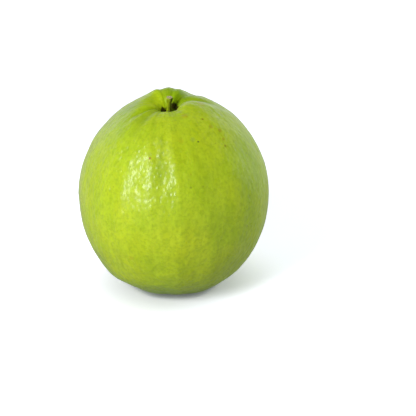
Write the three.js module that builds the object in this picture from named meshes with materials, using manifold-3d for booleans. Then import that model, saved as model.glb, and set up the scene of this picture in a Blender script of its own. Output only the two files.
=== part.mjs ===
// A whole guava as picked: the fruit, the stub of its stalk and the dried calyx, standing on its blossom end.
// Millimetres, +Z up. The origin is on the surface that the fruit stands on, under the middle of its outline.
// Azimuths are in degrees about +Z, counted from +X towards +Y. The fruit's front faces -Y.
// Polar angles are in degrees down from the stalk end: 0 at the stalk, 90 at the equator, 180 at the calyx.

import * as THREE from "three";
import { mergeVertices } from "three/addons/utils/BufferGeometryUtils.js";
import Module from "manifold-3d";

const wasm = await Module();
wasm.setup();

// The plain body, before it is furrowed and bent.
const EQUATOR_RADIUS = 46.8;
const CROWN = { height: 51.1, roundness: 1.84 }; // equator to the top, and the power of the dome's curve
const BASE = { height: 50.4, squareness: 2.14, roundness: 2.31 }; // equator to the bottom, and its powers
const CROWN_SWELL = { height: 1.6, radius: 15 }; // the flesh that stands up round the stalk cavity
const CAVITY = { depth: 10.8, radius: 6.8, power: 1.25 }; // the hollow that the stalk stands in
const PIT = { depth: 3.2, radius: 4.4 }; // the steep well in the middle of it
const BASIN = { depth: 7.5, radius: 9.5 }; // the hollow round the calyx, with a flatter floor
const HEEL = { height: 0.4, radius: 20, reach: 7 }; // the fuller ring that the fruit stands on
const PLUMPNESS = 0.4; // the skin's lift between the furrows

// The bend of the fruit's upper half, towards the front and a little to the left.
const BEND = { angle: 8.5, azimuth: 253 };

// Where the fruit's weight has flattened the lobes that it stands on.
const FLATTENING = 0.4;

// Furrows run down from the cavity, and come back at the base: depth, half width and reach past the rim.
// Some turn aside near the stalk: by inwardTurn at the stalk itself, and by less and less down to turnReach.
const FURROWS = [
  { azimuth: 14, depth: 1.3, halfWidth: 6, reach: 24, inwardTurn: 6, turnReach: 15 },
  { azimuth: 48, depth: 1.3, halfWidth: 5, reach: 16 },
  { azimuth: 77, depth: 0.4, halfWidth: 4, reach: 16 },
  { azimuth: 105, depth: 0.4, halfWidth: 6, reach: 20, inwardTurn: 5, turnReach: 15 },
  { azimuth: 158, depth: 0.5, halfWidth: 10, reach: 18 },
  { azimuth: 202, depth: 1.6, halfWidth: 7, reach: 12, inwardTurn: -7, turnReach: 15 },
  { azimuth: 227, depth: 1.1, halfWidth: 8, reach: 16, inwardTurn: -4, turnReach: 15 },
  { azimuth: 260, depth: 0.5, halfWidth: 4.5, reach: 48, inwardTurn: -18, turnReach: 35 },
  { azimuth: 284, depth: 0.35, halfWidth: 8, reach: 34 },
  { azimuth: 318, depth: 0.4, halfWidth: 12, reach: 26 },
  { azimuth: 345, depth: 0.4, halfWidth: 9, reach: 20 },
];
const FURROW_RIM = 14; // polar angle of the cavity's rim, where furrows are deepest
const FURROW_AT_EQUATOR = 0.1; // share of a furrow's depth left at the equator
const FURROW_AT_BASE = { share: 0.55, from: 158, reach: 26 };

// Lobes of the crown and of the base, and the ribs down the front, that swell above the rest of the skin.
// A negative height is a place that falls in.
const SWELLS = [
  { azimuth: 89, height: 2.2, halfWidth: 15, polar: 16, reach: 10 },
  { azimuth: 66, height: 1.3, halfWidth: 11, polar: 17, reach: 10 },
  { azimuth: 56, height: -1.2, halfWidth: 9, polar: 23, reach: 9 },
  { azimuth: 112, height: 1.9, halfWidth: 10, polar: 16, reach: 8 },
  { azimuth: 142, height: -0.4, halfWidth: 14, polar: 22, reach: 12 },
  { azimuth: 178, height: -1.3, halfWidth: 34, polar: 32, reach: 15 },
  { azimuth: 340, height: 1.6, halfWidth: 27, polar: 14, reach: 9 },
  { azimuth: 325, height: 0.5, halfWidth: 24, polar: 30, reach: 16 },
  { azimuth: 0, height: 0.9, halfWidth: 48, polar: 66, reach: 30 },
  { azimuth: 222, height: 1.0, halfWidth: 26, polar: 131, reach: 10 },
  { azimuth: 298, height: 0.6, halfWidth: 26, polar: 136, reach: 13 },
  { azimuth: 22, height: 0.8, halfWidth: 24, polar: 134, reach: 13 },
  { azimuth: 92, height: 0.6, halfWidth: 22, polar: 138, reach: 13 },
  { azimuth: 150, height: 0.9, halfWidth: 24, polar: 134, reach: 12 },
  { azimuth: 225.5, height: 0.5, halfWidth: 4.5, polar: 76, reach: 26 },
  { azimuth: 237, height: 0.66, halfWidth: 4.2, polar: 74, reach: 28 },
  { azimuth: 256, height: 0.86, halfWidth: 5.8, polar: 60, reach: 36, inwardTurn: -17, turnReach: 35 },
  { azimuth: 273, height: 0.7, halfWidth: 4.8, polar: 60, reach: 30 },
  { azimuth: 289, height: 0.25, halfWidth: 5, polar: 52, reach: 30 },
];

// The stalk's stub, which stands in the cavity's floor, and the calyx in its seat.
const CLEARANCE = 0.3;
const STALK = {
  baseRadius: 2.2,
  neckRadius: 1.1,
  capRadius: 1.65,
  height: 13.7, // above the cavity's floor
  rootDepth: 2.5, // below it
  lean: 0.9, // how far the cap stands off the axis
  leanAzimuth: 10,
};
const CALYX = { radius: 3.6, thickness: 1.7, seatDepth: 1, pitRadius: 1.7, pitDepth: 0.9 };
const SEPALS = [
  { azimuth: 20, length: 4.6, halfWidth: 2.2, drop: 3.1, curl: 0.9 },
  { azimuth: 88, length: 4.1, halfWidth: 2.4, drop: 3.4, curl: 0.5 },
  { azimuth: 163, length: 4.7, halfWidth: 2.1, drop: 2.9, curl: 1.0 },
  { azimuth: 232, length: 3.5, halfWidth: 2.3, drop: 3.3, curl: 0.7 },
  { azimuth: 301, length: 4.4, halfWidth: 2.2, drop: 3.0, curl: 0.4 },
];
const SEPAL_ROOT = 2.1; // radius at which the sepals leave the calyx
const SEPAL_HALF_THICKNESS = 0.45;

// How finely the faces follow the surface.
const FRUIT_SEGMENTS = 100;
const FRUIT_RINGS = 54;
const POLE_CROWDING = 0.45; // how much closer rings stand near the two ends, 0 for even
const SMALL_SEGMENTS = 20;
const SEPAL_SEGMENTS = 10;
const SEPAL_RINGS = 9;

const radians = THREE.MathUtils.degToRad;
const degrees = THREE.MathUtils.radToDeg;
const { smoothstep } = THREE.MathUtils;

// A bell curve that is 1 at 0 and falls to 1/e at 1.
const bell = (x) => Math.exp(-x * x);

// The turn from one azimuth to another, in degrees from -180 to 180.
function turn(from, to) {
  return THREE.MathUtils.euclideanModulo(to - from + 180, 360) - 180;
}

// Height of the plain body over its equator, at a radius, on its upper or its lower half.
function crownHeight(radius) {
  const u = Math.min(radius / EQUATOR_RADIUS, 1);
  const dome = CROWN.height * (1 - u ** 2) ** (1 / CROWN.roundness);
  const swell = CROWN_SWELL.height * bell(radius / CROWN_SWELL.radius);
  const funnel = CAVITY.depth * Math.exp(-((radius / CAVITY.radius) ** CAVITY.power));
  return dome + swell - funnel - PIT.depth * Math.exp(-((radius / PIT.radius) ** 3));
}

function baseHeight(radius) {
  const u = Math.min(radius / EQUATOR_RADIUS, 1);
  const dome = BASE.height * (1 - u ** BASE.squareness) ** (1 / BASE.roundness);
  const heel = HEEL.height * bell((radius - HEEL.radius) / HEEL.reach);
  return BASIN.depth * Math.exp(-((radius / BASIN.radius) ** 3)) - dome - heel;
}

const CAVITY_FLOOR = crownHeight(0);
const BASIN_FLOOR = baseHeight(0);
const SOCKET_RADIUS = STALK.baseRadius + CLEARANCE;
const SEAT_RADIUS = CALYX.radius + CLEARANCE;

// The point of the plain body's outline at a polar angle, as (radius, height).
function outlinePoint(polar) {
  const radius = EQUATOR_RADIUS * Math.sin(radians(polar));
  return new THREE.Vector2(radius, polar < 90 ? crownHeight(radius) : baseHeight(radius));
}

// The outline's outward normal, from two points close by.
function outlineNormal(polar) {
  const step = 0.2;
  const along = outlinePoint(polar - step).sub(outlinePoint(polar + step));
  return new THREE.Vector2(along.y, -along.x).normalize();
}

// How many half widths an azimuth is from the middle of a furrow or a swell, at a polar angle.
function halfWidthsAcross(form, polar, azimuth) {
  const aside = form.inwardTurn ? form.inwardTurn * bell(polar / form.turnReach) : 0;
  return turn(form.azimuth + aside, azimuth) / form.halfWidth;
}

// How far furrows and lobes move the skin out along its normal.
function relief(polar, azimuth) {
  let lift = PLUMPNESS;
  for (const furrow of FURROWS) {
    const across = halfWidthsAcross(furrow, polar, azimuth);
    const atCrown = bell(Math.max(polar - FURROW_RIM, 0) / furrow.reach);
    const toBase = Math.max(FURROW_AT_BASE.from - polar, 0) / FURROW_AT_BASE.reach;
    const atBase = FURROW_AT_BASE.share * bell(toBase);
    const share = Math.max(atCrown, atBase, FURROW_AT_EQUATOR);
    lift -= (furrow.depth * share) / (1 + across ** 2);
  }
  for (const swell of SWELLS) {
    const across = halfWidthsAcross(swell, polar, azimuth);
    lift += swell.height * bell(across) * bell((polar - swell.polar) / swell.reach);
  }
  return lift;
}

// Relief fades out where the skin meets the stalk and the calyx.
function reliefShare(radius, polar) {
  const edge = polar < 90 ? SOCKET_RADIUS : SEAT_RADIUS;
  return smoothstep(radius, edge, edge + 5);
}

// Moves a point of the straight fruit to its place in the bent one. Heights are over the equator.
function bendPoint(point) {
  const way = new THREE.Vector3(Math.cos(radians(BEND.azimuth)), Math.sin(radians(BEND.azimuth)), 0);
  const angle = radians(BEND.angle) * smoothstep(point.z, 0, CROWN.height);
  const along = point.dot(way);
  const bentAlong = along * Math.cos(angle) + point.z * Math.sin(angle);
  point.z = point.z * Math.cos(angle) - along * Math.sin(angle);
  return point.addScaledVector(way, bentAlong - along);
}

// Runs a function over every vertex of a geometry.
function moveVertices(geometry, move) {
  const position = geometry.getAttribute("position");
  const point = new THREE.Vector3();
  for (let i = 0; i < position.count; i += 1) {
    move(point.fromBufferAttribute(position, i), i);
    position.setXYZ(i, point.x, point.y, point.z);
  }
  return geometry;
}

// A lathe about +Z from (radius, height) points that run upwards on the outside.
function lathe(points, segments) {
  return new THREE.LatheGeometry(points, segments).rotateX(Math.PI / 2);
}

// The polar angles of the skin's rings, from the calyx's seat up to the stalk's socket.
function ringPolars() {
  const first = 180 - degrees(Math.asin(SEAT_RADIUS / EQUATOR_RADIUS));
  const last = degrees(Math.asin(SOCKET_RADIUS / EQUATOR_RADIUS));
  const polars = [];
  for (let i = 0; i <= FRUIT_RINGS; i += 1) {
    const share = i / FRUIT_RINGS;
    const crowded = share - (POLE_CROWDING * Math.sin(2 * Math.PI * share)) / (2 * Math.PI);
    polars.push(first + (last - first) * crowded);
  }
  return polars;
}

// The fruit: one body of flesh and skin, with plain holes for the calyx and the stalk.
function fruitGeometry() {
  const polars = ringPolars();
  const seatFloor = BASIN_FLOOR + CALYX.seatDepth;
  const socketFloor = CAVITY_FLOOR - STALK.rootDepth;
  const outline = [
    new THREE.Vector2(0, seatFloor),
    new THREE.Vector2(SEAT_RADIUS, seatFloor),
    ...polars.map(outlinePoint),
    new THREE.Vector2(SOCKET_RADIUS, socketFloor),
    new THREE.Vector2(0, socketFloor),
  ];
  const geometry = lathe(outline, FRUIT_SEGMENTS);
  const firstRing = 2;
  return moveVertices(geometry, (point, i) => {
    const ring = (i % outline.length) - firstRing;
    if (ring >= 0 && ring < polars.length) {
      const polar = polars[ring];
      const radius = outline[ring + firstRing].x;
      const azimuth = Math.atan2(point.y, point.x);
      const normal = outlineNormal(polar);
      const lift = relief(polar, degrees(azimuth)) * reliefShare(radius, polar);
      point.x += Math.cos(azimuth) * normal.x * lift;
      point.y += Math.sin(azimuth) * normal.x * lift;
      point.z += normal.y * lift;
    }
    bendPoint(point);
  });
}

// The stub of the stalk: flared at its root, narrow at the neck, with a cut cap.
function stalkGeometry() {
  const root = CAVITY_FLOOR - STALK.rootDepth + CLEARANCE;
  const outline = [
    new THREE.Vector2(0, root),
    new THREE.Vector2(STALK.baseRadius, root),
    new THREE.Vector2(STALK.baseRadius, CAVITY_FLOOR),
    new THREE.Vector2(STALK.baseRadius * 0.86, CAVITY_FLOOR + STALK.height * 0.16),
    new THREE.Vector2(STALK.neckRadius * 1.1, CAVITY_FLOOR + STALK.height * 0.4),
    new THREE.Vector2(STALK.neckRadius, CAVITY_FLOOR + STALK.height * 0.7),
    new THREE.Vector2(STALK.capRadius, CAVITY_FLOOR + STALK.height * 0.9),
    new THREE.Vector2(STALK.capRadius * 0.92, CAVITY_FLOOR + STALK.height * 0.98),
    new THREE.Vector2(STALK.capRadius * 0.6, CAVITY_FLOOR + STALK.height),
    new THREE.Vector2(0, CAVITY_FLOOR + STALK.height * 0.97),
  ];
  return moveVertices(lathe(outline, SMALL_SEGMENTS), (point) => {
    const rise = Math.max(point.z - CAVITY_FLOOR, 0) / STALK.height;
    const lean = STALK.lean * rise ** 2;
    point.x += lean * Math.cos(radians(STALK.leanAzimuth));
    point.y += lean * Math.sin(radians(STALK.leanAzimuth));
    bendPoint(point);
  });
}

// The calyx's disc, which hangs from its seat, with the pit that the flower's style left.
function calyxDisc() {
  const top = BASIN_FLOOR + CALYX.seatDepth - CLEARANCE;
  const bottom = top - CALYX.thickness;
  const outline = [
    new THREE.Vector2(0, bottom + CALYX.pitDepth),
    new THREE.Vector2(CALYX.pitRadius * 0.8, bottom + CALYX.pitDepth * 0.9),
    new THREE.Vector2(CALYX.pitRadius, bottom + CALYX.pitDepth * 0.2),
    new THREE.Vector2(CALYX.pitRadius * 1.3, bottom),
    new THREE.Vector2(CALYX.radius * 0.8, bottom + 0.2),
    new THREE.Vector2(CALYX.radius, bottom + CALYX.thickness * 0.4),
    new THREE.Vector2(CALYX.radius, top),
    new THREE.Vector2(0, top),
  ];
  return lathe(outline, SMALL_SEGMENTS);
}

// One dried sepal: a pointed blade, that hangs outwards, with its sides curled down.
function sepalGeometry(sepal) {
  const root = BASIN_FLOOR + CALYX.seatDepth - CLEARANCE - CALYX.thickness * 0.65;
  const geometry = new THREE.SphereGeometry(1, SEPAL_SEGMENTS, SEPAL_RINGS);
  moveVertices(geometry, (point) => {
    const share = (1 - point.y) / 2;
    const taper = (1 - share) ** 0.45;
    const across = point.x * sepal.halfWidth * taper;
    const droop = sepal.drop * share;
    const curl = (sepal.curl * across ** 2) / sepal.halfWidth ** 2;
    const through = point.z * SEPAL_HALF_THICKNESS;
    point.set(SEPAL_ROOT + share * sepal.length, across, root - droop - curl * share + through);
  });
  return geometry.rotateZ(radians(sepal.azimuth));
}

// A closed geometry as a manifold-3d solid.
function solidOf(geometry) {
  const bare = geometry.clone();
  bare.deleteAttribute("normal");
  bare.deleteAttribute("uv");
  const merged = mergeVertices(bare, 1e-4);
  return new wasm.Manifold(
    new wasm.Mesh({
      numProp: 3,
      vertProperties: merged.attributes.position.array,
      triVerts: new Uint32Array(merged.index.array),
    }),
  );
}

// A manifold-3d solid as a geometry.
function geometryOf(solid) {
  const mesh = solid.getMesh();
  const geometry = new THREE.BufferGeometry();
  geometry.setAttribute("position", new THREE.BufferAttribute(mesh.vertProperties, 3));
  geometry.setIndex(new THREE.BufferAttribute(mesh.triVerts, 1));
  return geometry;
}

// The calyx: its disc and sepals, grown together.
function calyxGeometry() {
  const sepals = SEPALS.map((sepal) => solidOf(sepalGeometry(sepal)));
  return geometryOf(sepals.reduce((whole, sepal) => whole.add(sepal), solidOf(calyxDisc())));
}

function meshOf(name, geometry, colour, roughness) {
  const material = new THREE.MeshStandardMaterial({ color: colour, roughness, metalness: 0 });
  const mesh = new THREE.Mesh(geometry, material);
  mesh.name = name;
  return mesh;
}

// Sets the fruit down: its lowest lobes are flattened where they meet the surface, and the origin goes
// under the middle of its outline.
function standOnSurface(meshes, fruit) {
  fruit.geometry.computeBoundingBox();
  const { min, max } = fruit.geometry.boundingBox;
  const floor = min.z + FLATTENING;
  for (const mesh of meshes) {
    mesh.geometry.translate(-(min.x + max.x) / 2, -(min.y + max.y) / 2, -floor);
  }
  moveVertices(fruit.geometry, (point) => {
    point.z = Math.max(point.z, 0);
  });
}

const fruit = meshOf("fruit", fruitGeometry(), 0xa6c62c, 0.38);
const stalk = meshOf("stalk_stub", stalkGeometry(), 0x8a8a4a, 0.8);
const calyx = meshOf("calyx", calyxGeometry(), 0x4a3420, 0.9);
standOnSurface([fruit, stalk, calyx], fruit);

const guava = new THREE.Group();
guava.add(fruit, stalk, calyx);

export default guava;
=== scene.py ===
"""The looks of a whole guava: its fruit, the stub of its stalk and its dried calyx, on a plain studio floor.

Sizes of the grown pieces are in millimetres and meshes are in metres. Azimuths are in degrees about +Z,
from +X towards +Y, and the fruit's front faces -Y. Polar angles are in degrees down from the stalk end.
"""

import logging
import math
from collections.abc import Sequence
from dataclasses import dataclass, field
from enum import Enum

import bmesh
import bpy
import numpy as np
from mathutils import Matrix, Vector, noise

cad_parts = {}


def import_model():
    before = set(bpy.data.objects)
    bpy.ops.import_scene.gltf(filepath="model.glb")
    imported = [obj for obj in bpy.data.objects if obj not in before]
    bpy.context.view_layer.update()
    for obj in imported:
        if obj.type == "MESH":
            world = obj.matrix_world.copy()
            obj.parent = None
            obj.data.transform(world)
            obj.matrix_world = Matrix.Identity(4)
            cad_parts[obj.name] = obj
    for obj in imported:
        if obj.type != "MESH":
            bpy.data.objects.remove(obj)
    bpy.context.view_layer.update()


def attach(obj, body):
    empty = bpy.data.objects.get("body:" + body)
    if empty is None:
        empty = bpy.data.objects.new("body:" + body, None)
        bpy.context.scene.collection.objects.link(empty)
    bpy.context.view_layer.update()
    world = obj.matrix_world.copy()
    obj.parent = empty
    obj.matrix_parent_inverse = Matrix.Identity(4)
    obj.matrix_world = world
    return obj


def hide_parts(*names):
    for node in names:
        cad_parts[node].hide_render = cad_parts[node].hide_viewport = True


log = logging.getLogger("guava")

Socket = bpy.types.NodeSocket

MM = 0.001
BODY = "root"
ALL_ROUND = 1000.0  # a half width in degrees so large that a patch goes evenly all the way round


class Slot(Enum):
    """The record's material slots."""

    SKIN = "skin"
    STALK = "stalk"
    CALYX = "calyx"


# --------------------------------------------------------------------------------------------------
# Small tools
# --------------------------------------------------------------------------------------------------


def bell(x: np.ndarray) -> np.ndarray:
    """Returns a curve that is 1 at 0 and falls to 1/e at 1."""
    return np.exp(-(x**2))


def smooth_step(x: np.ndarray, low: float, high: float) -> np.ndarray:
    """Returns 0 below low, 1 above high, and a smooth rise between them."""
    t = np.clip((x - low) / (high - low), 0.0, 1.0)
    return t * t * (3.0 - 2.0 * t)


def turn(start: float, end: np.ndarray) -> np.ndarray:
    """Returns the turn from one azimuth to others, in degrees from -180 to 180."""
    return (end - start + 180.0) % 360.0 - 180.0


def grain(points: np.ndarray, size: Sequence[float], seed: float) -> np.ndarray:
    """Returns smooth seeded noise at some points.

    Args:
        points: An array of places, one row each.
        size: The grain's rough size along X, Y and Z, in the points' own unit.
        seed: A number that picks one field of noise.

    Returns:
        One value a point, about -1 to 1.
    """
    scaled = points / np.asarray(size) + seed
    return np.array([noise.noise(p) for p in scaled.tolist()])


def direction(azimuth: float, elevation: float) -> Vector:
    """Returns the unit vector that points towards an azimuth and elevation in degrees."""
    a, e = math.radians(azimuth), math.radians(elevation)
    return Vector((math.cos(a) * math.cos(e), math.sin(a) * math.cos(e), math.sin(e)))


def linear(red: int, green: int, blue: int) -> tuple[float, float, float, float]:
    """Returns a screen colour of 0 to 255 as the linear colour that shaders take."""
    channels = (c / 255.0 for c in (red, green, blue))
    return (*(c / 12.92 if c <= 0.04045 else ((c + 0.055) / 1.055) ** 2.4 for c in channels), 1.0)


def spun(outline: Sequence[tuple[float, float]], steps: int) -> bmesh.types.BMesh:
    """Spins an outline about +Z into a closed skin.

    Args:
        outline: Points of radius and height, in millimetres, from the bottom of the axis to its top.
        steps: How many faces go round.

    Returns:
        The mesh, with its faces pointing outwards.
    """
    mesh = bmesh.new()
    verts = [mesh.verts.new((radius * MM, 0.0, height * MM)) for radius, height in outline]
    edges = [mesh.edges.new(pair) for pair in zip(verts, verts[1:])]
    bmesh.ops.spin(
        mesh, geom=verts + edges, cent=(0, 0, 0), axis=(0, 0, 1), angle=math.tau, steps=steps, use_merge=True
    )
    bmesh.ops.remove_doubles(mesh, verts=mesh.verts, dist=1e-8)
    bmesh.ops.recalc_face_normals(mesh, faces=mesh.faces)
    return mesh


def piece_from(mesh: bmesh.types.BMesh, name: str) -> bpy.types.Object:
    """Makes a smooth-shaded object of a bmesh, and frees the bmesh.

    Args:
        mesh: The finished bmesh.
        name: The new object's name.

    Returns:
        The object, at the origin.
    """
    for face in mesh.faces:
        face.smooth = True
    data = bpy.data.meshes.new(name)
    mesh.to_mesh(data)
    mesh.free()
    piece = bpy.data.objects.new(name, data)
    bpy.context.scene.collection.objects.link(piece)
    return piece


def points_of(piece: bpy.types.Object) -> np.ndarray:
    """Reads a piece's vertices.

    Args:
        piece: Any mesh object at the origin.

    Returns:
        One row of X, Y and Z a vertex, in millimetres.
    """
    flat = np.empty(len(piece.data.vertices) * 3)
    piece.data.vertices.foreach_get("co", flat)
    return flat.reshape(-1, 3) / MM


def set_points(piece: bpy.types.Object, points: np.ndarray) -> None:
    """Puts a piece's vertices at new places, given in millimetres."""
    piece.data.vertices.foreach_set("co", (points * MM).ravel())
    piece.data.update()


def set_attribute(piece: bpy.types.Object, name: str, values: np.ndarray) -> None:
    """Stores one number a vertex, which a material can read by its name."""
    attribute = piece.data.attributes.new(name, "FLOAT", "POINT")
    attribute.data.foreach_set("value", values.astype(np.float32))


def set_places(piece: bpy.types.Object, name: str, places: np.ndarray) -> None:
    """Stores one place a vertex, which a material can read by its name."""
    attribute = piece.data.attributes.new(name, "FLOAT_VECTOR", "POINT")
    attribute.data.foreach_set("vector", places.astype(np.float32).ravel())


def fit_out(piece: bpy.types.Object, node: str, finish: bpy.types.Material) -> None:
    """Puts a finished piece in the place of its CAD node.

    Args:
        piece: The finished piece, in the row frame.
        node: The CAD node that it stands for.
        finish: The piece's material.
    """
    piece.data.materials.append(finish)
    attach(piece, BODY)
    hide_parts(node)


# --------------------------------------------------------------------------------------------------
# Materials
# --------------------------------------------------------------------------------------------------


class Nodes:
    """Adds and joins the nodes of one material or world."""

    def __init__(self, tree: bpy.types.NodeTree) -> None:
        """Starts from an empty tree."""
        tree.nodes.clear()
        self.tree = tree

    def add(self, kind: str, inputs: dict | None = None, **settings: object) -> bpy.types.Node:
        """Adds a node.

        Args:
            kind: The node's type.
            inputs: Values or sockets by input name or number.
            settings: Properties of the node.

        Returns:
            The node.
        """
        node = self.tree.nodes.new(kind)
        for name, value in settings.items():
            setattr(node, name, value)
        for key, value in (inputs or {}).items():
            if isinstance(value, Socket):
                self.tree.links.new(value, node.inputs[key])
            else:
                node.inputs[key].default_value = value
        return node

    def place(self, scale: Sequence[float] = (1, 1, 1)) -> Socket:
        """Returns Object coordinates, multiplied by a scale."""
        coordinates = self.add("ShaderNodeTexCoord").outputs["Object"]
        return self.add("ShaderNodeMapping", {"Vector": coordinates, "Scale": scale}).outputs[0]

    def noise(self, place: Socket, size_mm: float, detail: float = 2.0, distortion: float = 0.0) -> Socket:
        """Returns noise from 0 to 1, with grains of about a size in millimetres."""
        inputs = {"Vector": place, "Scale": 1 / (size_mm * MM), "Detail": detail, "Distortion": distortion}
        return self.add("ShaderNodeTexNoise", inputs).outputs["Fac"]

    def ramp(
        self, value: Socket, low: float, high: float, to_low: float = 0.0, to_high: float = 1.0
    ) -> Socket:
        """Maps a value from low..high to to_low..to_high, with smooth ends."""
        inputs = {"Value": value, "From Min": low, "From Max": high, "To Min": to_low, "To Max": to_high}
        return self.add("ShaderNodeMapRange", inputs, interpolation_type="SMOOTHSTEP").outputs[0]

    def math(self, operation: str, *values: object) -> Socket:
        """Returns the result of one sum on sockets and numbers."""
        return self.add("ShaderNodeMath", dict(enumerate(values)), operation=operation).outputs[0]

    def blend(self, factor: object, under: object, over: object) -> Socket:
        """Returns a colour laid over another by a factor."""
        inputs = {0: factor, 6: under, 7: over}
        return self.add("ShaderNodeMix", inputs, data_type="RGBA").outputs[2]

    def attribute(self, name: str) -> Socket:
        """Returns a number that the mesh stores a vertex."""
        return self.add("ShaderNodeAttribute", attribute_name=name).outputs["Fac"]

    def attribute_place(self, name: str, scale: Sequence[float] = (1, 1, 1)) -> Socket:
        """Returns a place that the mesh stores a vertex, multiplied by a scale."""
        places = self.add("ShaderNodeAttribute", attribute_name=name).outputs["Vector"]
        return self.add("ShaderNodeMapping", {"Vector": places, "Scale": scale}).outputs[0]

    def cells(self, place: Socket, size_mm: float, **settings: object) -> bpy.types.Node:
        """Adds a pattern of cells of about a size in millimetres."""
        inputs = {"Vector": place, "Scale": 1 / (size_mm * MM)}
        return self.add("ShaderNodeTexVoronoi", inputs, **settings)

    def bump(self, height: Socket, depth_mm: float, normal: Socket | None = None) -> Socket:
        """Adds relief.

        Args:
            height: The relief, from 0 to 1.
            depth_mm: How far a height of 1 raises the surface.
            normal: The normal that the relief is laid on, or None for the surface's own.

        Returns:
            The new normal.
        """
        inputs = {"Height": height, "Distance": depth_mm * MM, "Strength": 1.0}
        if normal is not None:
            inputs["Normal"] = normal
        return self.add("ShaderNodeBump", inputs).outputs[0]


def new_material(name: str) -> tuple[bpy.types.Material, Nodes]:
    """Makes an empty node material.

    Args:
        name: The material's name.

    Returns:
        The material and its nodes.
    """
    material = bpy.data.materials.new(name)
    material.use_nodes = True
    return material, Nodes(material.node_tree)


@dataclass(frozen=True)
class Blemish:
    """A small mark on the skin, with its radius in millimetres."""

    azimuth: float
    polar: float
    radius: float
    strength: float
    colour: tuple[float, float, float, float]


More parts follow.
